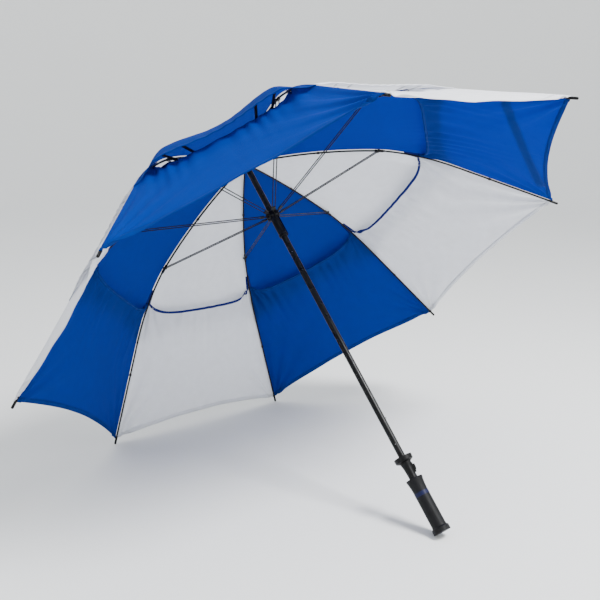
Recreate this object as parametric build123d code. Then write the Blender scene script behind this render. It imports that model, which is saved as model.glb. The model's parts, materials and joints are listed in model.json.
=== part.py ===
from build123d import *
from math import asin, atan2, cos, degrees, hypot, radians, sin, tan
import os

os.makedirs("parts", exist_ok=True)

# A double-canopy golf umbrella, open and lying on two rib tips and the end of its grip.
#
# Each piece is drawn in the umbrella's own frame: +Z runs up the shaft to the crown, z = 0 is the
# height of the rib pivots, and r is the distance from the shaft. Ribs are drawn at azimuth 0, in the
# plane of r and z, and turned to their places. The last lines lay the whole umbrella on the floor.
# Lengths are millimetres. A slope is in degrees below horizontal, going outwards.

# ---- the folding frame ----
RIBS = 8
SECTOR = 360 / RIBS
HALF = SECTOR / 2
FIRST_RIB = 157.5  # azimuth of rib 1; the umbrella lies on ribs 2 and 3, either side of azimuth 90
PIVOT_R = 12.0  # radius of the pivot circles in the crown and in the runner
LINK = 312.3  # from a rib's pivot to its stretcher joint, and the stretcher's own length
OPEN_SLOPE = 13.56  # of the straight line from a rib's pivot to its stretcher joint
CLOSED_JOINT_R = 32.0  # radius of the stretcher joints when the umbrella is closed
RIB_SAGITTA = 10.0  # how far the inner rib bows above that straight line
KNUCKLE = 14.0  # from the stretcher joint to the outer rib's joint
KNUCKLE_SLOPE = 22.0
BEND_SLOPES = (26.0, 44.2)  # the tensioned outer rib bends from the first slope to the second
BEND_LENGTH = 180.0
TIP_R = 660.0  # radius at the very end of a rib tip
CLOSED_TIP_R = 14.0  # radius of the same point when the umbrella is closed

ROD_RADIUS = 2.0
EYE_RADIUS = 2.3
EYE_WIDTH = 2.4
EYE_HOLE = 0.9
LUG_LENGTH = 9.0  # flat part of a rib's or stretcher's end, which moves inside a hub's slot
WIRE_RADIUS = 0.6
TWIN_RADIUS = 1.15  # the two rods of a stretcher
TWIN_OFFSET = 3.5
JOINT_EYE_RADIUS = 2.6
JOINT_PIN_RADIUS = 1.2
JOINT_EYE_HALF = 1.2
SLEEVE_HALF = 2.1
TIP_RADIUS = 2.8
TIP_LENGTH = 20.0

# ---- hubs, shaft and grip ----
SHAFT_RADIUS = 7.0
SHAFT_BORE = 5.8
SHAFT_TOP = 18.0
HUB_RADIUS = 15.5
HUB_HALF = 6.0
SLOT_FLOOR = 9.3
SLOT_WIDTH = 2.8
RUNNER_BORE = 7.15
RUNNER_SLEEVE_RADIUS = 9.4
RUNNER_SLEEVE_END = 58.5  # below the stretcher pivots
FERRULE_TOP = 65.0
FERRULE_RADIUS = 5.0
CUP_FLOOR = -762.0
CUP_RIM = -754.0
COLLAR_TOP = -766.0
GRIP_TOP = -801.0
GRIP_END = -916.0
GRIP_RADIUS = 14.7
GRIP_TOP_RADIUS = 17.8
GRIP_END_RADIUS = 18.0
BAND_Z = -834.0

# ---- catches and the release button, all on one side of the shaft ----
CATCH_AZIMUTH = -45.0
CATCH_NOSE_R = 9.3
CATCH_WIDTH = 1.6
OPEN_CATCH_TOP = -190.0
CLOSED_CATCH_TOP = -666.0
CATCH_NOSE_HEIGHT = 9.0
CATCH_TAIL = 59.0  # from the nose's top to the catch's own pin
BUTTON_Z = -781.0

# ---- the two canopies ----
CLOTH = 0.6
LOWER_OFFSET = 3.0  # the cloth's underside above the rib's centre line
UPPER_OFFSET = 4.0
UPPER_HEM_OFFSET = 10.0  # the vent: the upper hem stands clear of the lower canopy
LOWER_INNER_R = 396.0  # at a rib
LOWER_INNER_BULGE = 28.0  # the inner edge bows outwards between ribs
LOWER_HEM_R = 650.0
LOWER_HEM_SAG = 14.0  # the hem curves inwards between ribs
UPPER_HEM_R = 480.0
UPPER_HEM_SAG = 20.0
UPPER_INNER = 16.5
SEAM_GAP = 0.3
EDGE_SPANS = 8
STRAP = (380.0, 20.0, 1.0)
STRAP_ABOVE_TIP = 96.0  # from the tip up the slope to the strap's middle
STRAP_SIDE = -17.0
STRAP_TURN = 75.5  # the strap crosses its sector at this angle to the slope


def rib_azimuth(k):
    """Azimuth of rib k, numbered 1 to 8."""
    return FIRST_RIB - SECTOR * (k - 1)


def down_slope(point, slope, length):
    """The (r, z) point that lies a length down a slope from another."""
    return point[0] + length * cos(radians(slope)), point[1] - length * sin(radians(slope))


def on_arc(start, start_slope, radius, slope):
    """The (r, z) point where an arc that starts at a point and slope has reached a slope."""
    a, b = radians(start_slope), radians(slope)
    return start[0] + radius * (sin(b) - sin(a)), start[1] - radius * (cos(a) - cos(b))


def above(point, slope, distance):
    """The (r, z) point at a distance above a slope, square to it."""
    return point[0] + distance * sin(radians(slope)), point[1] + distance * cos(radians(slope))


def turned(point, centre, angle):
    """An (r, z) point turned about a centre, outwards to downwards."""
    a, dr, dz = radians(angle), point[0] - centre[0], point[1] - centre[1]
    return centre[0] + dr * cos(a) + dz * sin(a), centre[1] - dr * sin(a) + dz * cos(a)


# ---- the frame's points at rest, as (r, z) ----
PIVOT = (PIVOT_R, 0.0)
JOINT = down_slope(PIVOT, OPEN_SLOPE, LINK)
RUNNER_PIVOT = (PIVOT_R, 2 * JOINT[1])
FLEX = down_slope(JOINT, KNUCKLE_SLOPE, KNUCKLE)
INNER_RADIUS = ((LINK / 2) ** 2 + RIB_SAGITTA**2) / (2 * RIB_SAGITTA)
INNER_HALF_TURN = degrees(asin(LINK / 2 / INNER_RADIUS))
INNER_SLOPES = (OPEN_SLOPE - INNER_HALF_TURN, OPEN_SLOPE + INNER_HALF_TURN)
BEND_RADIUS = BEND_LENGTH / radians(BEND_SLOPES[1] - BEND_SLOPES[0])
BEND_END = on_arc(FLEX, BEND_SLOPES[0], BEND_RADIUS, BEND_SLOPES[1])
STRAIGHT = (TIP_R - BEND_END[0]) / cos(radians(BEND_SLOPES[1]))
TIP = down_slope(BEND_END, BEND_SLOPES[1], STRAIGHT)

# ---- how far each joint travels from open to closed ----
CLOSED_SLOPE = 90 - degrees(asin((CLOSED_JOINT_R - PIVOT_R) / LINK))
RIB_FOLD = CLOSED_SLOPE - OPEN_SLOPE
RUNNER_TRAVEL = 2 * LINK * (sin(radians(CLOSED_SLOPE)) - sin(radians(OPEN_SLOPE)))
CLOSED_FLEX = turned(FLEX, PIVOT, RIB_FOLD)
TIP_ARM = hypot(TIP[0] - FLEX[0], TIP[1] - FLEX[1])
TIP_SLOPE = degrees(atan2(FLEX[1] - TIP[1], TIP[0] - FLEX[0]))
CLOSED_TIP_SLOPE = 90 + degrees(asin((CLOSED_FLEX[0] - CLOSED_TIP_R) / TIP_ARM))
RIB_FLEX = TIP_SLOPE + RIB_FOLD - CLOSED_TIP_SLOPE  # the outer rib turns back by this

# ---- the umbrella's tilt as it lies: the floor touches the grip's rim and the tips of ribs 2, 3 ----
RIM = (GRIP_END_RADIUS, GRIP_END)
TIP_BALL = down_slope(TIP, BEND_SLOPES[1], -TIP_RADIUS)
TIP_BALL_Y = TIP_BALL[0] * cos(radians(HALF))
TILT = degrees(
    atan2(TIP_BALL[1] - RIM[1], TIP_BALL_Y - RIM[0])
    - asin(TIP_RADIUS / hypot(TIP_BALL_Y - RIM[0], TIP_BALL[1] - RIM[1]))
)


def spot(point):
    """The place of an (r, z) point in the plane of the rib at azimuth 0."""
    return Pos(point[0], 0, point[1])


def cross_pin(point, radius, width):
    """A cylinder along the tangent, centred on an (r, z) point."""
    return spot(point) * Rot(90, 0, 0) * Cylinder(radius, width)


def flat_bar(start, end, depth, width):
    """A rectangular bar between two (r, z) points."""
    length = hypot(end[0] - start[0], end[1] - start[1])
    slope = degrees(atan2(start[1] - end[1], end[0] - start[0]))
    middle = ((start[0] + end[0]) / 2, (start[1] + end[1]) / 2)
    return spot(middle) * Rot(0, slope, 0) * Box(length, width, depth)


def round_bar(start, end, radius, side=0.0):
    """A round rod between two (r, z) points, set to one side of the rib's plane."""
    length = hypot(end[0] - start[0], end[1] - start[1])
    slope = degrees(atan2(start[1] - end[1], end[0] - start[0]))
    middle = ((start[0] + end[0]) / 2, (start[1] + end[1]) / 2)
    return Pos(0, side, 0) * spot(middle) * Rot(0, slope + 90, 0) * Cylinder(radius, length)


def arc_rod(start, middle, end, radius):
    """A round rod along the arc through three (r, z) points."""
    path = ThreePointArc(*[(p[0], 0, p[1]) for p in (start, middle, end)])
    return sweep(Plane(path @ 0, z_dir=path % 0) * Circle(radius), path=path)


def turned_profile(points):
    """A solid of revolution about the shaft, from (r, z) points."""
    return revolve(Plane.XZ * make_face(Polyline(*points, close=True)), Axis.Z)


def ring(outer, inner, low, high):
    """A plain ring round the shaft."""
    height = high - low
    return Pos(0, 0, (low + high) / 2) * (Cylinder(outer, height) - Cylinder(inner, height))


def side_box(inner, outer, width, low, high):
    """A box on the catches' side of the shaft."""
    box = Box(outer - inner, width, high - low)
    return Rot(0, 0, CATCH_AZIMUTH) * Pos((inner + outer) / 2, 0, (low + high) / 2) * box


def side_plate(points, width):
    """A flat plate in the catches' plane, from (r, z) points."""
    face = Plane.XZ * make_face(Polyline(*points, close=True))
    return Rot(0, 0, CATCH_AZIMUTH) * extrude(face, amount=width / 2, both=True)


def hub_slots(z, low, high):
    """The eight radial slots of a hub and the groove of its pivot wire."""
    slot = Pos((SLOT_FLOOR + 20) / 2, 0, (low + high) / 2)
    slot *= Box(20 - SLOT_FLOOR, SLOT_WIDTH, high - low)
    slots = [Rot(0, 0, rib_azimuth(k)) * slot for k in range(1, RIBS + 1)]
    return slots + [Pos(0, 0, z) * Torus(PIVOT_R, WIRE_RADIUS + 0.02)]


# ---- ribs ----
def rib_inner():
    """The inner rib: an eye on the crown's wire, a bowed rod, and a sleeve with two joints."""
    share = degrees(LUG_LENGTH / INNER_RADIUS)
    slopes = (INNER_SLOPES[0] + share, OPEN_SLOPE, INNER_SLOPES[1])
    arc = [on_arc(PIVOT, INNER_SLOPES[0], INNER_RADIUS, s) for s in slopes]
    sleeve_ends = [down_slope(JOINT, KNUCKLE_SLOPE, d) for d in (-9.0, KNUCKLE - 2.4)]
    body = arc_rod(*arc, ROD_RADIUS)
    body += flat_bar(PIVOT, down_slope(PIVOT, INNER_SLOPES[0], LUG_LENGTH + 1), 3.0, EYE_WIDTH)
    body += cross_pin(PIVOT, EYE_RADIUS, EYE_WIDTH)
    body -= cross_pin(PIVOT, EYE_HOLE, 2 * EYE_WIDTH)
    body += flat_bar(*sleeve_ends, 4.8, 2 * SLEEVE_HALF)
    body += cross_pin(JOINT, JOINT_PIN_RADIUS, 9.8)
    for side in (-1, 1):
        body += Pos(0, side * 5.1, 0) * cross_pin(JOINT, 1.8, 0.6)
        cheek = flat_bar(down_slope(sleeve_ends[1], KNUCKLE_SLOPE, -2), FLEX, 3.4, 0.7)
        cheek += cross_pin(FLEX, 1.9, 0.7)
        body += Pos(0, side * 1.5, 0) * cheek
    return body + cross_pin(FLEX, 0.6, 3.4)


def rib_outer():
    """The outer rib's rod with an eye at its joint, and the moulded tip on its end."""
    lug = 4.6
    start_slope = BEND_SLOPES[0] + degrees(lug / BEND_RADIUS)
    slopes = (start_slope, (start_slope + BEND_SLOPES[1]) / 2, BEND_SLOPES[1])
    arc = [on_arc(FLEX, BEND_SLOPES[0], BEND_RADIUS, s) for s in slopes]
    rod_end = down_slope(TIP, BEND_SLOPES[1], 6 - TIP_LENGTH)
    rod = arc_rod(*arc, ROD_RADIUS) + round_bar(BEND_END, rod_end, ROD_RADIUS)
    rod += flat_bar(FLEX, down_slope(FLEX, BEND_SLOPES[0], lug + 1), 3.0, 2.0)
    rod += cross_pin(FLEX, 1.8, 2.0)
    rod -= cross_pin(FLEX, 0.68, 5)
    tip_start = down_slope(TIP, BEND_SLOPES[1], -TIP_LENGTH)
    tip = round_bar(tip_start, TIP_BALL, TIP_RADIUS) + spot(TIP_BALL) * Sphere(TIP_RADIUS)
    tip -= round_bar(down_slope(tip_start, BEND_SLOPES[1], -1), rod_end, ROD_RADIUS)
    return Compound(children=[rod.solid(), tip.solid()])


def stretcher():
    """Twin rods between a lug on the runner's wire and two eyes on the rib's joint pin."""
    rise = -OPEN_SLOPE
    lug_end = down_slope(RUNNER_PIVOT, rise, LUG_LENGTH)
    block_end = down_slope(RUNNER_PIVOT, rise, LUG_LENGTH + 9)
    body = flat_bar(RUNNER_PIVOT, block_end, 3.0, EYE_WIDTH)
    body += cross_pin(RUNNER_PIVOT, EYE_RADIUS, EYE_WIDTH)
    body += flat_bar(lug_end, block_end, 2.6, 2 * (TWIN_OFFSET + TWIN_RADIUS) + 0.1)
    body -= cross_pin(RUNNER_PIVOT, EYE_HOLE, 2 * EYE_WIDTH)
    rod_start = down_slope(RUNNER_PIVOT, rise, LUG_LENGTH + 5)
    for side in (-TWIN_OFFSET, TWIN_OFFSET):
        body += round_bar(rod_start, JOINT, TWIN_RADIUS, side)
        body += Pos(0, side, 0) * cross_pin(JOINT, JOINT_EYE_RADIUS, 2 * JOINT_EYE_HALF)
        body -= Pos(0, side, 0) * cross_pin(JOINT, JOINT_PIN_RADIUS + 0.08, 3 * TWIN_RADIUS)
    return body


# ---- canopies ----
def cloth_plate(stations):
    """A wide plate of cloth over one sector, from (point, slope, offset) stations along a rib."""
    under = [above(point, slope, offset) for point, slope, offset in stations]
    over = [above(point, slope, offset + CLOTH) for point, slope, offset in stations]
    outline = [(r * cos(radians(HALF)), z) for r, z in under + over[::-1]]
    face = Plane.XZ * make_face(Polyline(*outline, close=True))
    return extrude(face, amount=TIP_R / 2, both=True)


def sector_outline(inner, bulge, hem, sag):
    """A sector's plan between its two ribs: an inner edge and a hem, each a shallow parabola."""
    shares = [-1 + 2 * i / EDGE_SPANS for i in range(EDGE_SPANS + 1)]
    edges = []
    for base, bow in ((inner, bulge), (hem, -sag)):
        edge = []
        for share in shares:
            out = base * cos(radians(HALF)) + bow * (1 - share**2)
            edge.append((out, share * (out * tan(radians(HALF)) - SEAM_GAP / cos(radians(HALF)))))
        edges.append(edge)
    plan = make_face(Polyline(*(edges[0] + edges[1][::-1]), close=True))
    return Pos(0, 0, -500) * extrude(plan, amount=600)


def bend_stations(slopes, offset):
    """Stations on the bent part of the outer rib."""
    points = [on_arc(FLEX, BEND_SLOPES[0], BEND_RADIUS, s) for s in slopes]
    return [(point, slope, offset) for point, slope in zip(points, slopes)]


def lower_panel():
    """One sector of the lower canopy, from the vent out to the rib tips."""
    stations = bend_stations((30.5, 35.0, 39.5, BEND_SLOPES[1]), LOWER_OFFSET)
    stations.append((TIP, BEND_SLOPES[1], LOWER_OFFSET))
    plan = sector_outline(LOWER_INNER_R, LOWER_INNER_BULGE, LOWER_HEM_R, LOWER_HEM_SAG)
    return cloth_plate(stations) & plan


def upper_panel():
    """One sector of the upper canopy, from the crown to the hem that hides the vent."""
    span = INNER_SLOPES[1] - INNER_SLOPES[0]
    slopes = [INNER_SLOPES[0] + span * i / 4 for i in range(5)]
    points = [on_arc(PIVOT, INNER_SLOPES[0], INNER_RADIUS, s) for s in slopes]
    stations = [(point, slope, UPPER_OFFSET) for point, slope in zip(points, slopes)]
    stations += bend_stations((BEND_SLOPES[0], 30.5, 35.0, 39.5), UPPER_OFFSET)
    beyond = down_slope(BEND_END, BEND_SLOPES[1], 30)
    stations.append((beyond, BEND_SLOPES[1], UPPER_HEM_OFFSET))
    inner = UPPER_INNER / cos(radians(HALF))
    return cloth_plate(stations) & sector_outline(inner, 0, UPPER_HEM_R, UPPER_HEM_SAG)


def closing_strap():
    """The strap that ties the closed umbrella, lying on the outside of the lower canopy."""
    length, width, thick = STRAP
    place = down_slope(TIP, BEND_SLOPES[1], -STRAP_ABOVE_TIP)
    place = above(place, BEND_SLOPES[1], LOWER_OFFSET + CLOTH + thick / 2 + 0.1)
    across = Pos(place[0] * cos(radians(HALF)), STRAP_SIDE, place[1])
    slope = degrees(atan2(sin(radians(BEND_SLOPES[1])), cos(radians(BEND_SLOPES[1])) * cos(radians(HALF))))
    return across * Rot(0, slope, 0) * Rot(0, 0, STRAP_TURN) * Box(length, width, thick)


# ---- crown ----
def crown_notch():
    """The slotted hub that holds the rib pivots."""
    hub = ring(HUB_RADIUS, SHAFT_RADIUS, -HUB_HALF, HUB_HALF)
    for cut in hub_slots(0, -HUB_HALF - 1, HUB_HALF + 1):
        hub -= cut
    return hub


def crown_cap():
    """The shallow cap that pins the upper canopy down over the hub."""
    return turned_profile([
        (SHAFT_RADIUS, HUB_HALF + 0.2), (HUB_RADIUS + 0.4, HUB_HALF + 0.2), (HUB_RADIUS + 0.4, 5.0),
        (20.5, 5.0), (21.0, 6.2), (16.0, 9.0), (SHAFT_RADIUS, 10.0),
    ])


def ferrule():
    """The spike above the crown, with a socket over the top of the shaft."""
    profile = [
        (SHAFT_RADIUS, 10.2), (10.0, 10.2), (10.0, 16.0), (7.4, 24.0), (FERRULE_RADIUS, 32.0),
        (FERRULE_RADIUS, FERRULE_TOP - 2), (3.6, FERRULE_TOP), (0, FERRULE_TOP),
        (0, SHAFT_TOP + 0.2), (SHAFT_RADIUS, SHAFT_TOP + 0.2),
    ]
    return turned_profile(profile)


# ---- shaft and what rides on it ----
def shaft_tube():
    """The hollow shaft, with a slot for each catch and cross holes for their pins."""
    tube = ring(SHAFT_RADIUS, SHAFT_BORE, GRIP_END + 5, SHAFT_TOP)
    for top in (OPEN_CATCH_TOP, CLOSED_CATCH_TOP):
        tube -= side_box(0, SHAFT_RADIUS + 1, CATCH_WIDTH + 0.6, top - CATCH_NOSE_HEIGHT - 1, top + 1)
        tube -= catch_pin(top, 2 * SHAFT_RADIUS + 4)
    return tube


def catch_pin(top, length):
    """The cross pin that one catch springs on, square to the catch."""
    pin = Pos(0, 0, top - CATCH_TAIL) * Rot(90, 0, 0) * Cylinder(0.9, length)
    return Rot(0, 0, CATCH_AZIMUTH) * pin


def catch(top):
    """A sprung blade inside the shaft with a wedge nose that stands out through its slot."""
    nose = top - CATCH_NOSE_HEIGHT
    return side_plate([
        (-1.6, top), (CATCH_NOSE_R, top), (CATCH_NOSE_R, top - 2.0), (5.0, nose),
        (2.0, nose - 4), (2.0, top - CATCH_TAIL + 6), (-1.6, top - CATCH_TAIL + 6),
    ], CATCH_WIDTH)


def catch_spring(top):
    """The bent leaf behind one catch."""
    z, wall = top - 6.0, -SHAFT_BORE + 0.4
    return side_plate([
        (wall, z), (-1.7, z - 14), (wall, z - 28), (wall, z - 27.2), (-2.1, z - 14), (wall, z - 0.8),
    ], CATCH_WIDTH)


def runner():
    """The sliding hub: slots for the stretchers, a sleeve, and a keyway that clears the catches."""
    pivot_z = RUNNER_PIVOT[1]
    top, base = pivot_z + HUB_HALF, pivot_z - HUB_HALF
    end = pivot_z - RUNNER_SLEEVE_END
    body = turned_profile([
        (RUNNER_BORE, top), (HUB_RADIUS - 0.8, top), (HUB_RADIUS, top - 0.8), (HUB_RADIUS, base + 0.8),
        (HUB_RADIUS - 0.8, base), (RUNNER_SLEEVE_RADIUS, base - 2), (RUNNER_SLEEVE_RADIUS, end + 7),
        (10.4, end + 5), (10.4, end + 1), (9.8, end), (RUNNER_BORE, end),
    ])
    body += side_box(RUNNER_BORE + 0.6, 11.4, 5.0, end, base)
    for cut in hub_slots(pivot_z, base - 3, top + 1):
        body -= cut
    body -= side_box(0, CATCH_NOSE_R + 0.5, CATCH_WIDTH + 0.8, end - 1, top + 1)
    body -= side_box(0, 12, 3.2, OPEN_CATCH_TOP - CATCH_NOSE_HEIGHT, OPEN_CATCH_TOP + 0.6)
    return body - Pos(0, 0, (top + end) / 2) * Cylinder(RUNNER_BORE, top - end + 2)


def tip_cup():
    """The cup that gathers the rib tips of the closed umbrella, with drain holes in its floor."""
    cup = turned_profile([
        (SHAFT_RADIUS, COLLAR_TOP), (12.0, COLLAR_TOP), (18.6, CUP_FLOOR - 0.6), (19.4, CUP_RIM + 0.4),
        (19.0, CUP_RIM), (18.2, CUP_RIM), (17.4, CUP_FLOOR), (10.4, CUP_FLOOR), (9.6, CUP_RIM - 1),
        (SHAFT_RADIUS, CUP_RIM - 1),
    ])
    for k in range(RIBS):
        cup -= Rot(0, 0, FIRST_RIB + HALF + SECTOR * k) * Pos(13.6, 0, CUP_FLOOR) * Cylinder(1.5, 12)
    return cup


def button_collar():
    """The neck between the cup and the grip, with a housing for the release button."""
    body = turned_profile([
        (SHAFT_RADIUS, GRIP_TOP), (8.8, GRIP_TOP), (8.8, GRIP_TOP + 8), (9.8, COLLAR_TOP - 10),
        (11.6, COLLAR_TOP - 1), (11.6, COLLAR_TOP), (SHAFT_RADIUS, COLLAR_TOP),
    ])
    body += side_box(SHAFT_RADIUS + 0.2, 12.0, 8.0, BUTTON_Z - 10, BUTTON_Z + 10)
    body -= side_box(SHAFT_RADIUS + 0.4, 13.0, 5.8, BUTTON_Z - 6.5, BUTTON_Z + 6.5)
    return body


def release_button():
    """The thumb button that slides in the collar's housing."""
    low, high = BUTTON_Z - 6.2, BUTTON_Z + 6.2
    return side_plate([(9.6, low), (13.4, low), (15.0, high - 6), (15.0, high), (9.6, high)], 5.2)


def button_spring():
    """The bent leaf behind the release button."""
    z, back = BUTTON_Z, SHAFT_RADIUS + 0.5
    return side_plate([
        (back, z + 5.5), (9.5, z), (back, z - 5.5), (back, z - 4.9), (9.0, z), (back, z + 4.9),
    ], 3.0)


def grip():
    """The straight grip: a flared top, a waist, and a rim round its end."""
    bore = SHAFT_RADIUS
    return turned_profile([
        (bore, GRIP_TOP), (GRIP_TOP_RADIUS - 0.8, GRIP_TOP), (GRIP_TOP_RADIUS, GRIP_TOP - 1.0),
        (GRIP_TOP_RADIUS - 0.6, GRIP_TOP - 4), (16.1, GRIP_TOP - 10), (15.2, GRIP_TOP - 18),
        (GRIP_RADIUS, GRIP_TOP - 27), (GRIP_RADIUS, BAND_Z + 4), (GRIP_RADIUS - 0.8, BAND_Z + 4),
        (GRIP_RADIUS - 0.8, BAND_Z - 4), (GRIP_RADIUS, BAND_Z - 4), (GRIP_RADIUS, GRIP_END + 16),
        (15.2, GRIP_END + 12), (GRIP_END_RADIUS, GRIP_END + 9), (GRIP_END_RADIUS, GRIP_END),
        (10.0, GRIP_END), (10.0, GRIP_END + 4.5), (bore, GRIP_END + 4.5),
    ])


def grip_band():
    """The coloured ring let into the grip."""
    return ring(GRIP_RADIUS + 0.3, GRIP_RADIUS - 0.8, BAND_Z - 4, BAND_Z + 4)


def grip_end_plug():
    """The disc that closes the end of the grip, just inside its rim."""
    return Pos(0, 0, GRIP_END + 2.4) * Cylinder(10.0, 4.0)


# ---- every piece in the umbrella's frame ----
pieces = {
    "shaft_tube": shaft_tube(),
    "ferrule": ferrule(),
    "crown_notch": crown_notch(),
    "rib_pivot_wire": Torus(PIVOT_R, WIRE_RADIUS),
    "crown_cap": crown_cap(),
    "runner": runner(),
    "stretcher_pivot_wire": Pos(0, 0, RUNNER_PIVOT[1]) * Torus(PIVOT_R, WIRE_RADIUS),
    "open_catch": catch(OPEN_CATCH_TOP),
    "closed_catch": catch(CLOSED_CATCH_TOP),
    "catch_pins": Compound(
        children=[catch_pin(top, 2 * SHAFT_RADIUS - 0.1) for top in (OPEN_CATCH_TOP, CLOSED_CATCH_TOP)]
    ),
    "catch_springs": Compound(
        children=[catch_spring(top) for top in (OPEN_CATCH_TOP, CLOSED_CATCH_TOP)]
    ),
    "tip_cup": tip_cup(),
    "button_collar": button_collar(),
    "release_button": release_button(),
    "button_spring": button_spring(),
    "grip": grip(),
    "grip_band": grip_band(),
    "grip_end_plug": grip_end_plug(),
    "closing_strap": Rot(0, 0, rib_azimuth(5) - HALF) * closing_strap(),
}
repeated = {
    "rib_inner": (rib_inner(), 0),
    "rib_outer": (rib_outer(), 0),
    "stretcher": (stretcher(), 0),
    "upper_panel": (upper_panel(), -HALF),
    "lower_panel": (lower_panel(), -HALF),
}
for name, (shape, turn) in repeated.items():
    for k in range(1, RIBS + 1):
        pieces[f"{name}_{k}"] = Rot(0, 0, rib_azimuth(k) + turn) * shape

# ---- lie the umbrella down: the floor is z = 0, and the box's centre is over the origin ----
lying = {name: Rot(-TILT, 0, 0) * piece for name, piece in pieces.items()}
boxes = [piece.bounding_box() for piece in lying.values()]
low_x, high_x = min(b.min.X for b in boxes), max(b.max.X for b in boxes)
low_y, high_y = min(b.min.Y for b in boxes), max(b.max.Y for b in boxes)
low_z, high_z = min(b.min.Z for b in boxes), max(b.max.Z for b in boxes)
SHIFT = (-(low_x + high_x) / 2, -(low_y + high_y) / 2, -low_z)
print(f"tilt {TILT:.3f}, shift {SHIFT}, size {high_x - low_x:.1f} {high_y - low_y:.1f} {high_z - low_z:.1f}")
print(f"rib fold {RIB_FOLD:.3f}, rib flex {RIB_FLEX:.3f}, runner travel {RUNNER_TRAVEL:.3f}")

for name, piece in lying.items():
    export_step(Pos(*SHIFT) * piece, f"parts/{name}.step")
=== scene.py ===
import json
import math

import bpy
import numpy as np
from mathutils import Matrix, Vector


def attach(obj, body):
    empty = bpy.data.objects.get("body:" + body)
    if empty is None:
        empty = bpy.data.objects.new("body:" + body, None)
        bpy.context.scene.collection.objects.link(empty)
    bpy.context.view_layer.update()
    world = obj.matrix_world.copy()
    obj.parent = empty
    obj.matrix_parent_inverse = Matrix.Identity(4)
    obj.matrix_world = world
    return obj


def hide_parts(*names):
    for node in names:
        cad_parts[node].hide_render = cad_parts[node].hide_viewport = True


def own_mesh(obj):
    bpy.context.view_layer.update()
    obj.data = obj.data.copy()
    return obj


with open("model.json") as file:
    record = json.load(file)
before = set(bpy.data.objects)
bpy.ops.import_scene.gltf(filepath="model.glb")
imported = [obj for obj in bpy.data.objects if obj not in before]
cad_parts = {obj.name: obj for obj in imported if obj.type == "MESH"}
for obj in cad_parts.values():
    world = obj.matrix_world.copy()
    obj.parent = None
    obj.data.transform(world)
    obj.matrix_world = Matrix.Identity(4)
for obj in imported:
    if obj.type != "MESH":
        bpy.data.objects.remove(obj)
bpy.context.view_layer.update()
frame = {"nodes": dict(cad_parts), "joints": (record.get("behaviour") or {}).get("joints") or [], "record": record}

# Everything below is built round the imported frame, in metres. CROWN is the middle of the rib pivots,
# UP runs along the shaft towards the crown, and OUT[k - 1] points from the shaft along rib k.
RIBS = 8
HALF = math.pi / RIBS
COS_HALF = math.cos(HALF)
TAN_HALF = math.tan(HALF)
joints = {joint["name"]: joint for joint in frame["joints"]}
UP = -np.array(joints["runner_slide"]["axis"], float)
UP /= np.linalg.norm(UP)
pivots = [np.array(joints[f"rib_fold_{k}"]["pos_m"], float) for k in range(1, RIBS + 1)]
CROWN = sum(pivots) / RIBS
OUT = [(p - CROWN) / np.linalg.norm(p - CROWN) for p in pivots]

# ---- the ribs' curve, with the same driving sizes as the CAD model ----
PIVOT_R = 0.012
LINK = 0.3123
OPEN_SLOPE = math.radians(13.56)
SAGITTA = 0.010
KNUCKLE = 0.014
KNUCKLE_SLOPE = math.radians(22)
BEND_SLOPES = (math.radians(26), math.radians(44.2))
BEND_LENGTH = 0.180
TIP_R = 0.660
CURVE_END_R = TIP_R + 0.05  # the curve runs on past the tip
ARC_POINTS = 40


def arc_points(start, slope, radius, turn, count):
    """Points (r, z) along an arc that starts with a slope and turns downwards."""
    slopes = np.linspace(slope, slope + turn, count)
    r = start[0] + radius * (np.sin(slopes) - math.sin(slope))
    z = start[1] - radius * (math.cos(slope) - np.cos(slopes))
    return list(zip(r, z))


def rib_curve():
    """The rib's centre line from its pivot to just past its tip, as rows of (r, z)."""
    radius = ((LINK / 2) ** 2 + SAGITTA**2) / (2 * SAGITTA)
    half_turn = math.asin(LINK / 2 / radius)
    points = arc_points((PIVOT_R, 0.0), OPEN_SLOPE - half_turn, radius, 2 * half_turn, ARC_POINTS)
    joint = (PIVOT_R + LINK * math.cos(OPEN_SLOPE), -LINK * math.sin(OPEN_SLOPE))
    flex = (
        joint[0] + KNUCKLE * math.cos(KNUCKLE_SLOPE),
        joint[1] - KNUCKLE * math.sin(KNUCKLE_SLOPE),
    )
    bend = BEND_SLOPES[1] - BEND_SLOPES[0]
    points += arc_points(flex, BEND_SLOPES[0], BEND_LENGTH / bend, bend, ARC_POINTS)
    last = points[-1]
    drop = (CURVE_END_R - last[0]) * math.tan(BEND_SLOPES[1])
    points.append((CURVE_END_R, last[1] - drop))
    return np.array(points)


RIB = rib_curve()
# The cloth follows the same curve with its kinks smoothed, by a running mean over SPREAD points.
FINE_R = np.arange(0.0, 0.7, 0.002)
SPREAD = 13
fine_z = np.interp(FINE_R, RIB[:, 0], RIB[:, 1])
padded_z = np.concatenate([
    np.full(SPREAD // 2, fine_z[0]),
    fine_z,
    fine_z[-1] + (fine_z[-1] - fine_z[-2]) * np.arange(1, SPREAD // 2 + 1),
])
SMOOTH_Z = np.convolve(padded_z, np.full(SPREAD, 1 / SPREAD), "valid")
SMOOTH_SLOPE = np.gradient(SMOOTH_Z, FINE_R)


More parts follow.
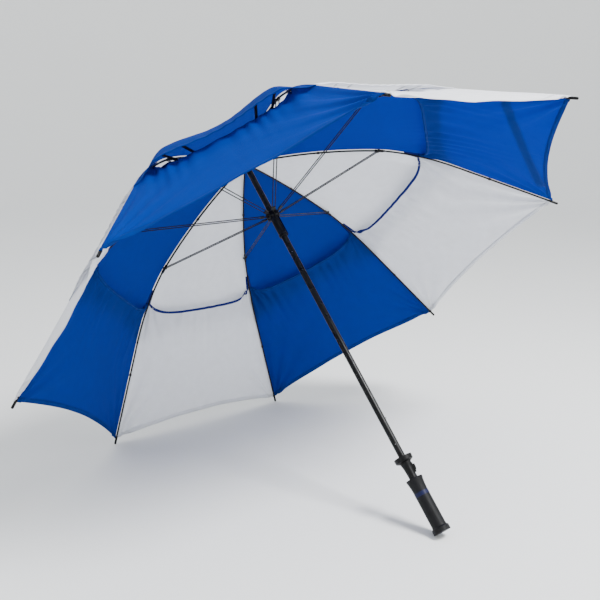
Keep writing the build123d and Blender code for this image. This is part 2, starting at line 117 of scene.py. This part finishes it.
class Panel:
    """One sector of the canopy, between rib k and rib k + 1.

    u is the distance from the shaft along the sector's middle line, and v the distance to its side.
    """

    def __init__(self, k):
        self.k = k
        here = OUT[k - 1]
        after = OUT[k % RIBS]
        self.m = (here + after) / np.linalg.norm(here + after)
        self.n = (after - here) / np.linalg.norm(after - here)

    def at(self, u, v, lift):
        """Points at u and v, lifted off the surface that the ribs' curve spans."""
        u = np.asarray(u, float)
        r = u / COS_HALF
        z = np.interp(r, FINE_R, SMOOTH_Z)
        slope = np.interp(r, FINE_R, SMOOTH_SLOPE) / COS_HALF
        norm = np.sqrt(1 + slope**2)
        out = u - lift * slope / norm
        height = z + lift / norm
        return (
            CROWN
            + out[..., None] * self.m
            + np.asarray(v)[..., None] * self.n
            + height[..., None] * UP
        )


PANELS = [Panel(k) for k in range(1, RIBS + 1)]
WAVES = 12
rng = np.random.default_rng(20)
PHASES = rng.uniform(0, 2 * math.pi, (RIBS, WAVES))  # where each sector's waves begin


# ---- the shape of the cloth; t is the share of a sector's half width, from -1 to 1 ----
LOWER_LIFT = 0.0034
UPPER_LIFT = 0.0046
SEAM = 0.0004
# How far each upper sector's hem stands up off the vent, as a share of the most.
BILLOW = (0.45, 0.5, 0.5, 0.5, 0.4, 0.22, 1.0, 0.22)


def lower_inner(t):
    return 0.392 - 0.004 * t**2 - 0.022 * t**6


def lower_hem(t):
    return 0.5845 + 0.016 * t**2


def upper_inner(t):
    return 0.0165 + 0 * t


def upper_hem(t):
    return 0.426 + 0.006 * t**2 + 0.011 * t**6


FOLD_R = PIVOT_R + LINK * math.cos(OPEN_SLOPE) + KNUCKLE * math.cos(KNUCKLE_SLOPE)
CROWDING = 1.8  # the power that draws a sheet's rows together towards its fold


def upper_fold(t):
    """Where the upper canopy crosses the ribs' joints, and its mesh divides so that it can fold there."""
    return FOLD_R * COS_HALF + 0 * t


def step(x, low, high):
    """A smooth step from 0 at low to 1 at high."""
    share = np.clip((x - low) / (high - low), 0, 1)
    return share * share * (3 - 2 * share)


def across(u, t):
    """v for a share t of a sector's half width at u."""
    return t * (u * TAN_HALF - SEAM)


def fan_folds(u, t, corner, reach, count, phase):
    """Folds that fan out over the cloth from a sector's two corners at one of its edges."""
    side = (1 - np.abs(t)) * u * TAN_HALF
    away = np.abs(corner - u)
    distance = np.sqrt(side**2 + away**2) + 0.004
    angle = np.arctan2(side, away + 0.002)
    fade = np.exp(-distance / (0.075 * reach)) * np.clip(distance / 0.03, 0, 1)
    sharp = np.sin(angle * count + phase + np.sign(t) * 1.1 + 6 * distance)
    return fade * (sharp - 0.35 * sharp**3) * np.clip(side / 0.012, 0, 1)


def lower_lift(k, u, t):
    """How far the lower canopy stands off the ribs' surface."""
    p = PHASES[k - 1]
    v = u * TAN_HALF * t
    inner = np.clip((u - lower_inner(t)) / 0.05, 0, 4)
    hem = np.clip((lower_hem(t) - u) / 0.05, 0, 4)
    pull = 1 - t**2
    bow = pull * (0.0065 + 0.0065 * (u - 0.39) / 0.2)
    bow += 0.0080 * (1 - t**8) * np.exp(-1.2 * inner)
    gathers = 0.0046 * np.exp(-1.3 * inner) * (0.5 + 0.5 * np.sin(v * 19 + p[1]) ** 2)
    gathers = gathers * (0.15 + 0.85 * step(inner * 0.05, 0.003, 0.020))
    folds = np.sin(v * 210 + p[0] + 3 * np.sin(v * 31 + p[1])) + 0.6 * np.sin(v * 121 + p[2])
    rise = gathers * folds * (1 - 0.7 * t**8)
    rise += fan_folds(u, t, lower_hem(t) + 0.004, 1.0, 13.0, p[3]) * 0.0080
    rise += fan_folds(u, t, lower_inner(t) - 0.006, 0.62, 11.0, p[11]) * 0.0095
    rise += 0.0009 * np.sin(v * 23 + u * 18 + p[4]) * np.sin(u * 40 + p[5]) * pull
    rise -= 0.0010 * np.exp(-2.5 * hem) * np.sin(v * 47 + p[6]) * pull
    return LOWER_LIFT - bow + rise


def upper_lift(k, u, t):
    """How far the upper canopy stands off the ribs' surface."""
    p = PHASES[k - 1]
    v = u * TAN_HALF * t
    pull = 1 - t**2
    span = np.clip((upper_hem(t) - u) / 0.4, 0, 1)
    bow = pull * 0.0055 * np.clip(u / 0.3, 0, 1) * np.clip(span * 5, 0.1, 1)
    arch = (1 - step(np.abs(t), 0.70, 0.98)) * (0.45 + 0.55 * step(np.abs(t), 0.05, 0.68))
    arch = arch * BILLOW[k - 1]
    rise = 0.022 * arch * (1 - step(span * 0.4, 0.035, 0.150))
    rise -= 0.003 * arch * (1 - step(span * 0.4, 0.0, 0.030))
    folds = np.sin(v * 240 + p[7] + 2 * np.sin(v * 27 + p[8]))
    rise += 0.0007 * folds * np.exp(-span * 0.4 / 0.03) * pull
    slack = np.sin(v * 25 + p[9]) * np.sin(u * 34 + p[10])
    rise += 0.0006 * slack * pull * np.clip(u / 0.2, 0, 1)
    return UPPER_LIFT - bow + rise


# ---- mesh helpers ----
def new_object(name, vertices, faces):
    mesh = bpy.data.meshes.new(name)
    mesh.from_pydata([tuple(v) for v in vertices], [], faces)
    mesh.update()
    mesh.shade_smooth()
    thing = bpy.data.objects.new(name, mesh)
    bpy.context.scene.collection.objects.link(thing)
    return thing


def grid_faces(rows, columns, wrap=False):
    """Four-sided faces over rows of vertices, joined round each row if it wraps."""
    faces = []
    last = columns if wrap else columns - 1
    for i in range(rows - 1):
        for j in range(last):
            a = i * columns + j
            b = i * columns + (j + 1) % columns
            faces.append((a, b, b + columns, a + columns))
    return faces


def solidify(thing, thickness):
    modifier = thing.modifiers.new("thickness", "SOLIDIFY")
    modifier.thickness = thickness
    modifier.offset = 0
    return thing


def shares_across(columns):
    """Shares of a sector's half width, from -1 to 1, closer together near its two ribs."""
    t = np.linspace(-1, 1, columns)
    return np.sign(t) * (1 - (1 - np.abs(t)) ** 1.15)


DOWN_SLOPE = 1.25  # roughly how much longer the cloth is, down its slope, than its plan


def cloth_mesh(name, panel, inner, outer, hem, lift, rows, columns):
    """A curved sheet over one sector from inner to outer, with a UV map of metres from the nearer rib
    and from the sector's hem. Rows crowd together where two sheets meet, so that their shading agrees."""
    s = np.linspace(0, 1, rows)[:, None]
    if outer is upper_fold:
        s = 1 - (1 - s) ** CROWDING
    if inner is upper_fold:
        s = s**CROWDING
    t = shares_across(columns)[None, :]
    u = inner(t) + (outer(t) - inner(t)) * s
    t = t + 0 * u
    points = panel.at(u, across(u, t), lift(panel.k, u, t))
    thing = new_object(name, points.reshape(-1, 3), grid_faces(rows, columns))
    uv = thing.data.uv_layers.new(name="cloth")
    index = np.zeros(len(thing.data.loops), int)
    thing.data.loops.foreach_get("vertex_index", index)
    side = ((1 - np.abs(t)) * u * TAN_HALF).ravel()
    end = (hem(t) - u).ravel() * DOWN_SLOPE
    pairs = np.stack([side[index], end[index]], 1)
    uv.data.foreach_set("uv", pairs.astype(np.float32).ravel())
    return thing


def tube_faces(rings, sides):
    """The faces of a closed tube: its walls and its two flat ends."""
    faces = grid_faces(rings, sides, wrap=True)
    faces.append(tuple(range(sides))[::-1])
    faces.append(tuple((rings - 1) * sides + i for i in range(sides)))
    return faces


def band_mesh(name, panel, line, band, lift, ts, inward=1.0):
    """A band along an edge of a sector: it wraps both faces of the cloth, from the edge inwards."""
    width, thick = band
    u = line(ts)
    half = thick / 2
    bulge = half * 1.1
    section = [(0.0, -half), (0.0, half), (width / 2, bulge),
               (width, half), (width, -half), (width / 2, -bulge)]
    rings = []
    for offset, rise in section:
        uu = u + inward * offset
        rings.append(panel.at(uu, across(uu, ts), lift(panel.k, uu, ts) + rise))
    points = np.stack(rings, 1).reshape(-1, 3)
    return new_object(name, points, tube_faces(len(ts), len(section)))


def strip_mesh(name, path, side, thick):
    """A flat strip along a path of points: side is half its width, as a vector at each point."""
    run = np.gradient(path, axis=0)
    normal = np.cross(run, side)
    normal /= np.linalg.norm(normal, axis=1)[:, None]
    corners = [path - side - normal * thick / 2, path + side - normal * thick / 2,
               path + side + normal * thick / 2, path - side + normal * thick / 2]
    points = np.stack(corners, 1).reshape(-1, 3)
    return new_object(name, points, tube_faces(len(path), len(corners)))


# ---- materials ----
class Nodes:
    """A material's node tree, with short calls for what every material here needs."""

    def __init__(self, name):
        self.material = bpy.data.materials.new(name)
        self.material.use_nodes = True
        self.tree = self.material.node_tree
        self.shader = self.tree.nodes["Principled BSDF"]
        self.output = self.tree.nodes["Material Output"]
        self.coords = self.tree.nodes.new("ShaderNodeTexCoord")

    def new(self, kind, **values):
        node = self.tree.nodes.new(kind)
        for key, value in values.items():
            if key in node.inputs:
                node.inputs[key].default_value = value
            else:
                setattr(node, key, value)
        return node

    def link(self, a, b):
        self.tree.links.new(a, b)

    def set(self, **values):
        for key, value in values.items():
            self.shader.inputs[key.replace("_", " ")].default_value = value

    def noise(self, scale, detail=3.0, rough=0.5, space="Object"):
        node = self.new("ShaderNodeTexNoise", Scale=scale, Detail=detail, Roughness=rough)
        self.link(self.coords.outputs[space], node.inputs["Vector"])
        return node.outputs["Fac"]

    def ramp(self, value, stops):
        node = self.new("ShaderNodeValToRGB")
        node.color_ramp.elements[0].position = stops[0][0]
        node.color_ramp.elements[0].color = stops[0][1]
        node.color_ramp.elements[1].position = stops[-1][0]
        node.color_ramp.elements[1].color = stops[-1][1]
        for position, colour in stops[1:-1]:
            node.color_ramp.elements.new(position).color = colour
        self.link(value, node.inputs["Fac"])
        return node.outputs["Color"]

    def bump(self, height, strength, distance, under=None):
        node = self.new("ShaderNodeBump", Strength=strength, Distance=distance)
        self.link(height, node.inputs["Height"])
        if under is not None:
            self.link(under, node.inputs["Normal"])
        return node.outputs["Normal"]

    def math(self, operation, a, b=None):
        node = self.new("ShaderNodeMath", operation=operation)
        for i, value in enumerate((a, b)):
            if isinstance(value, (int, float)):
                node.inputs[i].default_value = value
            elif value is not None:
                self.link(value, node.inputs[i])
        return node.outputs[0]


def tint(colour, factor):
    return tuple(min(1.0, c * factor) for c in colour) + (1.0,)


WEAVE_PITCH = 0.0009
STITCH_PITCH = 0.004
STITCH_HALF_WIDTH = 0.0005
SEAM_STITCHES = 0.005  # from the rib
HEM_STITCHES = 0.0065  # from the hem


def cloth_material(name, colour, through, share, rough, sheen):
    """Woven polyester: a fine weave, faint slubs, stitching along hem and seams, and light through it."""
    n = Nodes(name)
    slub = n.noise(55.0, 4.0)
    fine = n.noise(900.0, 2.0)
    mixed = n.math("ADD", n.math("MULTIPLY", slub, 0.7), n.math("MULTIPLY", fine, 0.3))
    base = n.ramp(mixed, [(0.3, tint(colour, 0.965)), (0.7, tint(colour, 1.03))])
    split = n.new("ShaderNodeSeparateXYZ")
    n.link(n.coords.outputs["UV"], split.inputs[0])
    warp = n.math("SINE", n.math("MULTIPLY", split.outputs[0], 2 * math.pi / WEAVE_PITCH))
    weft = n.math("SINE", n.math("MULTIPLY", split.outputs[1], 2 * math.pi / WEAVE_PITCH))
    weave = n.math("MULTIPLY", warp, weft)
    lines = []
    for axis, place in ((0, SEAM_STITCHES), (1, HEM_STITCHES)):
        other = split.outputs[1 - axis]
        away = n.math("ABSOLUTE", n.math("SUBTRACT", split.outputs[axis], place))
        on = n.math("LESS_THAN", away, STITCH_HALF_WIDTH)
        wave = n.math("SINE", n.math("MULTIPLY", other, 2 * math.pi / STITCH_PITCH))
        lines.append(n.math("MULTIPLY", on, n.math("GREATER_THAN", wave, -0.4)))
    stitches = n.math("MAXIMUM", lines[0], lines[1])
    stitched = n.new("ShaderNodeMix", data_type="RGBA", blend_type="MULTIPLY")
    n.link(n.math("MULTIPLY", stitches, 0.35), stitched.inputs[0])
    n.link(base, stitched.inputs[6])
    stitched.inputs[7].default_value = (0.35, 0.35, 0.4, 1)
    n.link(stitched.outputs[2], n.shader.inputs["Base Color"])
    normal = n.bump(weave, 0.25, 0.0002)
    normal = n.bump(slub, 0.10, 0.002, normal)
    normal = n.bump(stitches, 0.5, 0.0004, normal)
    n.link(normal, n.shader.inputs["Normal"])
    n.set(Roughness=rough, Specular_IOR_Level=0.12)
    n.set(Sheen_Weight=sheen, Sheen_Roughness=0.4, Sheen_Tint=tint(colour, 1.6))
    glow = n.new("ShaderNodeBsdfTranslucent")
    shining = n.ramp(mixed, [(0.3, tint(through, 0.965)), (0.7, tint(through, 1.03))])
    n.link(shining, glow.inputs["Color"])
    n.link(normal, glow.inputs["Normal"])
    mix = n.new("ShaderNodeMixShader")
    mix.inputs[0].default_value = share
    n.link(n.shader.outputs[0], mix.inputs[1])
    n.link(glow.outputs[0], mix.inputs[2])
    n.link(mix.outputs[0], n.output.inputs["Surface"])
    return n.material


def hard_material(name, colour, rough, grain, depth, metallic=0.0, spread=0.12, coat=0.0):
    """Moulded plastic, painted metal or rubber: a mottled colour, uneven gloss and a fine grain."""
    n = Nodes(name)
    large = n.noise(24.0, 4.0)
    fine = n.noise(grain, 3.0, 0.6)
    base = n.ramp(large, [(0.3, tint(colour, 1 - spread)), (0.7, tint(colour, 1 + spread))])
    n.link(base, n.shader.inputs["Base Color"])
    glossier = (rough - 0.06,) * 3 + (1,)
    duller = (rough + 0.08,) * 3 + (1,)
    uneven = n.ramp(n.noise(70.0, 5.0), [(0.35, glossier), (0.7, duller)])
    n.link(uneven, n.shader.inputs["Roughness"])
    n.link(n.bump(fine, 0.35, depth), n.shader.inputs["Normal"])
    n.set(Metallic=metallic, Specular_IOR_Level=0.17, Coat_Weight=coat, Coat_Roughness=0.2)
    return n.material


BLUE = (0.0, 0.036, 0.26)
BLUE_THROUGH = (0.0, 0.10, 0.60)
WHITE = (0.86, 0.87, 0.90)
WHITE_THROUGH = (0.93, 0.94, 0.97)
NAVY = (0.006, 0.013, 0.13)
BLACK = (0.016, 0.016, 0.018)

blue_cloth = cloth_material("blue_cloth", BLUE, BLUE_THROUGH, 0.45, 0.75, 0.03)
white_cloth = cloth_material("white_cloth", WHITE, WHITE_THROUGH, 0.45, 0.7, 0.03)
navy_tape = cloth_material("navy_tape", NAVY, NAVY, 0.05, 0.7, 0.05)
blue_tape = cloth_material("blue_tape", (0.0, 0.026, 0.19), BLUE, 0.2, 0.7, 0.03)
strap_cloth = cloth_material("strap_cloth", (0.0, 0.030, 0.22), BLUE, 0.05, 0.7, 0.03)
elastic = cloth_material("elastic", (0.03, 0.03, 0.036), BLACK, 0.02, 0.8, 0.03)
pale_elastic = cloth_material("pale_elastic", (0.62, 0.63, 0.66), WHITE, 0.1, 0.8, 0.03)
thread = hard_material("black_thread", (0.012, 0.012, 0.014), 0.75, 1500.0, 0.0003)
shaft_paint = hard_material("shaft_paint", (0.003, 0.003, 0.0035), 0.30, 260.0, 0.00002, coat=0.04)
moulded = hard_material("moulded_black", (0.003, 0.003, 0.0035), 0.40, 1300.0, 0.0002)
foam = hard_material("grip_foam", (0.004, 0.004, 0.005), 0.52, 800.0, 0.0005, spread=0.2)
rod_black = hard_material("rib_rod", (0.004, 0.004, 0.0045), 0.38, 900.0, 0.00006)
wire_black = hard_material("stretcher_wire", (0.005, 0.005, 0.0055), 0.38, 1100.0, 0.00006)
steel = hard_material("spring_steel", (0.42, 0.42, 0.43), 0.3, 600.0, 0.00005, metallic=1.0)
bright_wire = hard_material("bright_wire", (0.5, 0.5, 0.5), 0.25, 600.0, 0.00005, metallic=1.0)
band_blue = hard_material("band_blue", (0.004, 0.006, 0.040), 0.4, 900.0, 0.0001, coat=0.1)

FINISHES = {
    "shaft": shaft_paint,
    "moulded_black": moulded,
    "wire": bright_wire,
    "spring_steel": steel,
    "grip_rubber": foam,
    "blue_band": band_blue,
    "blue_cloth": blue_cloth,
    "white_cloth": white_cloth,
    "rib_rod": rod_black,
    "stretcher_wire": wire_black,
}


def finish_with(thing, material):
    thing.data.materials.clear()
    thing.data.materials.append(material)


for subpart in frame["record"]["subparts"]:
    node = frame["nodes"].get(subpart["node"])
    if node is not None:
        finish_with(node, FINISHES[subpart["material_slot"]])


# ---- places on the ribs for gathering the cloth as the umbrella closes; the pieces are not moved here ----
# Distances from the shaft: two places on rib k that give its line, and a place on the next rib.
LOWER_GATHER = (0.40, 0.65, 0.56)
CLOTH_GATHER = (PIVOT_R, FOLD_R, FOLD_R)
SKIRT_GATHER = (FOLD_R, 0.44, 0.42)


def smooth_rib_point(k, r):
    return CROWN + r * OUT[k - 1] + float(np.interp(r, FINE_R, SMOOTH_Z)) * UP


def gather(things, k, radii):
    """Works out rib k's line and an axis towards the next rib's point at far_r, and gives each piece its own mesh;
    the pieces are not moved.
    """
    low_r, high_r, far_r = radii
    start = smooth_rib_point(k, low_r)
    run = smooth_rib_point(k, high_r) - start
    run /= np.linalg.norm(run)
    far = smooth_rib_point(k % RIBS + 1, far_r) - start
    axis = far - (far @ run) * run
    axis /= np.linalg.norm(axis)
    for thing in things:
        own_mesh(thing)


# ---- the canopies: odd sectors are blue, even ones white ----
LOWER_COLUMNS = 151
UPPER_COLUMNS = 121
LOWER_ROWS = 70
CLOTH_ROWS = 90
SKIRT_ROWS = 40
LOWER_EDGE = shares_across(LOWER_COLUMNS)
UPPER_EDGE = shares_across(UPPER_COLUMNS)
SHEET_THICKNESS = 0.0004
HEM_BAND = (0.0065, 0.0014)  # width, thickness
VENT_BAND = (0.0048, 0.0017)
TETHER_SHARES = (-0.64, -0.42, 0.42, 0.64)
TETHER_HALF_WIDTH = 0.0030
TETHER_THICKNESS = 0.0008


def flat_size(panel, inner, hem):
    """A sector's size laid flat: its greatest width, its greatest length and its area."""
    t = np.linspace(-1, 1, 81)[None, :]
    s = np.linspace(0, 1, 81)[:, None]
    u = inner(t) + (hem(t) - inner(t)) * s
    points = panel.at(u, across(u, t + 0 * u), 0 * u + LOWER_LIFT)
    width = np.linalg.norm(np.diff(points, axis=1), axis=2).sum(1).max()
    length = np.linalg.norm(np.diff(points, axis=0), axis=2).sum(0).max()
    a = points[1:, :-1] - points[:-1, :-1]
    b = points[:-1, 1:] - points[:-1, :-1]
    area = np.linalg.norm(np.cross(a, b), axis=2).sum()
    return float(width), float(length), float(area)


def declare_sheet(panel, inner, hem):
    width, length, area = flat_size(panel, inner, hem)


def build_lower(panel):
    """A sector of the lower canopy, with its hem and the tape along the vent."""
    k = panel.k
    blue = k % 2 == 1
    material = blue_cloth if blue else white_cloth
    cloth = cloth_mesh(f"lower_cloth_{k}", panel, lower_inner, lower_hem, lower_hem, lower_lift,
                       LOWER_ROWS, LOWER_COLUMNS)
    finish_with(solidify(cloth, SHEET_THICKNESS), material)
    hem = band_mesh(f"lower_hem_{k}", panel, lower_hem, HEM_BAND, lower_lift, LOWER_EDGE, -1.0)
    finish_with(hem, material)
    tape = band_mesh(f"vent_tape_{k}", panel, lower_inner, VENT_BAND, lower_lift, LOWER_EDGE)
    finish_with(tape, blue_tape if blue else navy_tape)
    trim = [hem, tape]
    for thing in [cloth] + trim:
        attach(thing, f"rib_outer_{k}")
    gather([cloth] + trim, k, LOWER_GATHER)
    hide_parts(f"lower_panel_{k}")
    declare_sheet(panel, lower_inner, lower_hem)


def vent_tether(panel, number, t):
    """An elastic strip from the lower canopy's inner edge to the upper canopy's hem."""
    k = panel.k
    low_t = t * 0.95
    low_u = float(lower_inner(low_t)) + 0.003
    high_u = float(upper_hem(t)) - 0.002
    low_lift = lower_lift(k, low_u, low_t) + TETHER_THICKNESS
    high_lift = upper_lift(k, high_u, t) - TETHER_THICKNESS
    low = panel.at(low_u, across(low_u, low_t), low_lift)
    high = panel.at(high_u, across(high_u, t), high_lift)
    path = low + (high - low) * np.linspace(0, 1, 9)[:, None]
    side = np.tile(panel.n * TETHER_HALF_WIDTH, (len(path), 1))
    tether = strip_mesh(f"vent_tether_{k}_{number}", path, side, TETHER_THICKNESS)
    finish_with(tether, elastic if k % 2 == 1 else pale_elastic)
    return tether


def build_upper(panel):
    """A sector of the upper canopy: the part inside the ribs' joints, and the skirt beyond them."""
    k = panel.k
    blue = k % 2 == 1
    material = blue_cloth if blue else white_cloth
    cloth = cloth_mesh(f"upper_cloth_{k}", panel, upper_inner, upper_fold, upper_hem, upper_lift,
                       CLOTH_ROWS, UPPER_COLUMNS)
    skirt = cloth_mesh(f"upper_skirt_{k}", panel, upper_fold, upper_hem, upper_hem, upper_lift,
                       SKIRT_ROWS, UPPER_COLUMNS)
    for sheet in (cloth, skirt):
        finish_with(solidify(sheet, SHEET_THICKNESS), material)
    hem = band_mesh(f"upper_hem_{k}", panel, upper_hem, HEM_BAND, upper_lift, UPPER_EDGE, -1.0)
    finish_with(hem, material)
    trim = [hem]
    for i, t in enumerate(TETHER_SHARES):
        trim.append(vent_tether(panel, i + 1, t))
    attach(cloth, f"rib_inner_{k}")
    gather([cloth], k, CLOTH_GATHER)
    for thing in [skirt] + trim:
        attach(thing, f"rib_outer_{k}")
    gather([skirt] + trim, k, SKIRT_GATHER)
    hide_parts(f"upper_panel_{k}")
    declare_sheet(panel, upper_inner, upper_fold)
    declare_sheet(panel, upper_fold, upper_hem)


for panel in PANELS:
    build_lower(panel)
    build_upper(panel)

# ---- the closing strap, lying across one sector from (u, v) to (u, v) ----
STRAP_K = 5
STRAP_ENDS = ((0.512, 0.201), (0.580, -0.167))
STRAP_SIZE = (0.020, 0.382)
STRAP_THICKNESS = 0.0011
STRAP_LIFT = 0.0016
strap_panel = PANELS[STRAP_K - 1]
share = np.linspace(0, 1, 60)
strap_u = STRAP_ENDS[0][0] + (STRAP_ENDS[1][0] - STRAP_ENDS[0][0]) * share
strap_v = STRAP_ENDS[0][1] + (STRAP_ENDS[1][1] - STRAP_ENDS[0][1]) * share
under_strap = lower_lift(STRAP_K, strap_u, strap_v / (strap_u * TAN_HALF))
strap_path = strap_panel.at(strap_u, strap_v, under_strap + STRAP_LIFT)
strap_up = strap_panel.at(strap_u, strap_v, under_strap + 0.01) - strap_path
strap_side = np.cross(strap_up, np.gradient(strap_path, axis=0))
strap_side *= STRAP_SIZE[0] / 2 / np.linalg.norm(strap_side, axis=1)[:, None]
strap = strip_mesh("strap_cloth", strap_path, strap_side, STRAP_THICKNESS)
finish_with(strap, strap_cloth)
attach(strap, f"rib_outer_{STRAP_K}")
gather([strap], STRAP_K, LOWER_GATHER)
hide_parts("closing_strap")


def rib_centre(k, r):
    """Points of rib k's centre line, at distances r from the shaft."""
    z = np.interp(r, RIB[:, 0], RIB[:, 1])
    return CROWN + np.multiply.outer(r, OUT[k - 1]) + np.multiply.outer(z, UP)


# ---- a tab at each rib, where the lower canopy's inner corner is tied down ----
TAB_R = np.linspace(0.372, 0.403, 12)
TAB_HALF_WIDTH = 0.0045 + 0.0035 * (TAB_R - TAB_R[0]) / (TAB_R[-1] - TAB_R[0])
TAB_LIFT = 0.0026
TAB_THICKNESS = 0.0010
for k in range(1, RIBS + 1):
    path = rib_centre(k, TAB_R) + TAB_LIFT * UP
    tangent = np.cross(UP, OUT[k - 1])
    tab = strip_mesh(f"corner_tab_{k}", path, TAB_HALF_WIDTH[:, None] * tangent, TAB_THICKNESS)
    finish_with(tab, navy_tape)
    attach(tab, f"rib_outer_{k}")

# ---- small black ties that hold the cloth's seams to the ribs ----
OUTER_TIE_R = 0.535
INNER_TIE_R = 0.175
TIE_TURNS = 24
TIE_PROFILE = [  # place along the rib, radius
    (-0.0030, 0.0018), (-0.0026, 0.0026), (-0.0015, 0.0028), (-0.0010, 0.0025), (0.0, 0.0029),
    (0.0010, 0.0025), (0.0015, 0.0028), (0.0026, 0.0026), (0.0030, 0.0018),
]


def tie(name, k, r, body):
    centre = rib_centre(k, r)
    along = rib_centre(k, r + 0.004) - centre
    along /= np.linalg.norm(along)
    side = np.cross(UP, OUT[k - 1])
    normal = np.cross(along, side)
    points = []
    for place, radius in TIE_PROFILE:
        for i in range(TIE_TURNS):
            a = 2 * math.pi * i / TIE_TURNS
            ring = side * math.cos(a) + normal * math.sin(a) * 1.15
            points.append(centre + along * place + ring * radius)
    thing = new_object(name, points, grid_faces(len(TIE_PROFILE), TIE_TURNS, wrap=True))
    finish_with(thing, thread)
    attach(thing, body)


for k in range(1, RIBS + 1):
    tie(f"outer_tie_{k}", k, OUTER_TIE_R, f"rib_outer_{k}")
    tie(f"inner_tie_{k}", k, INNER_TIE_R, f"rib_inner_{k}")

# ---- floor, light and camera ----
floor_material = Nodes("floor")
height = floor_material.new("ShaderNodeSeparateXYZ")
floor_material.link(floor_material.coords.outputs["Object"], height.inputs[0])
mottle = floor_material.math("MULTIPLY", floor_material.noise(1.2, 2.0), 0.1)
# Painted light: the floor's colour grows paler higher up its cove wall, standing in for light the wall gets too
# little of; the mottle added to it is random tone.
painted_light_and_mottle = floor_material.math("ADD", floor_material.math("MULTIPLY", height.outputs[2], 0.3), mottle)
floor_material.link(
    floor_material.ramp(painted_light_and_mottle, [(0.0, (0.735, 0.745, 0.75, 1)), (1.0, (0.90, 0.905, 0.89, 1))]),
    floor_material.shader.inputs["Base Color"],
)
floor_material.set(Roughness=0.9, Specular_IOR_Level=0.1)
FLAT_R = 5.0
COVE_R = 4.0
COVE_ANGLES = np.linspace(0.06, math.pi / 2, 24)
SWEEP = [(0.0, 0.0), (FLAT_R / 2, 0.0), (FLAT_R, 0.0)]
SWEEP += [(FLAT_R + COVE_R * math.sin(a), COVE_R - COVE_R * math.cos(a)) for a in COVE_ANGLES]
SWEEP.append((FLAT_R + COVE_R, COVE_R + 2.0))
SWEEP_SIDES = 96
sweep_points = [
    (r * math.cos(2 * math.pi * i / SWEEP_SIDES), r * math.sin(2 * math.pi * i / SWEEP_SIDES), z)
    for r, z in SWEEP
    for i in range(SWEEP_SIDES)
]
floor = new_object("floor", sweep_points, grid_faces(len(SWEEP), SWEEP_SIDES, wrap=True))
finish_with(floor, floor_material.material)

world = bpy.data.worlds.new("studio")
bpy.context.scene.world = world
world.use_nodes = True
background = world.node_tree.nodes["Background"]
background.inputs["Color"].default_value = (0.93, 0.95, 0.97, 1)
background.inputs["Strength"].default_value = 1.5

CAMERA_PLACE = (-1.243, -1.394, 0.825)
FORWARD = Vector((0.637, 0.739, -0.2195)).normalized()
RIGHT = FORWARD.cross(Vector((0, 0, 1))).normalized()
ROLL = math.radians(0.6)
camera_data = bpy.data.cameras.new("camera")
camera_data.lens = 53.2
camera_data.sensor_width = 36
camera = bpy.data.objects.new("camera", camera_data)
camera.location = CAMERA_PLACE
VIEW_UP = RIGHT.cross(FORWARD)
LEVEL = RIGHT * math.cos(ROLL) + VIEW_UP * math.sin(ROLL)
turn = Matrix((LEVEL, LEVEL.cross(FORWARD), -FORWARD)).transposed()
camera.rotation_mode = "QUATERNION"
camera.rotation_quaternion = turn.to_quaternion()
bpy.context.scene.collection.objects.link(camera)
bpy.context.scene.camera = camera


def area_light(name, place, size, power):
    """A round lamp that faces MIDDLE."""
    data = bpy.data.lights.new(name, "AREA")
    data.shape = "DISK"
    data.size = size
    data.energy = power
    light = bpy.data.objects.new(name, data)
    light.location = place
    light.rotation_euler = (MIDDLE - place).to_track_quat("-Z", "Y").to_euler()
    bpy.context.scene.collection.objects.link(light)


MIDDLE = Vector((0, 0, 0.4))
area_light("key", MIDDLE + RIGHT * 1.6 - FORWARD * 0.9 + Vector((0, 0, 2.3)), 1.0, 190)
area_light("fill", MIDDLE - RIGHT * 2.6 - FORWARD * 1.4 + Vector((0, 0, 1.6)), 2.4, 5)
area_light("inside", MIDDLE + RIGHT * 2.2 - FORWARD * 1.6 + Vector((0, 0, 0.9)), 1.6, 20)
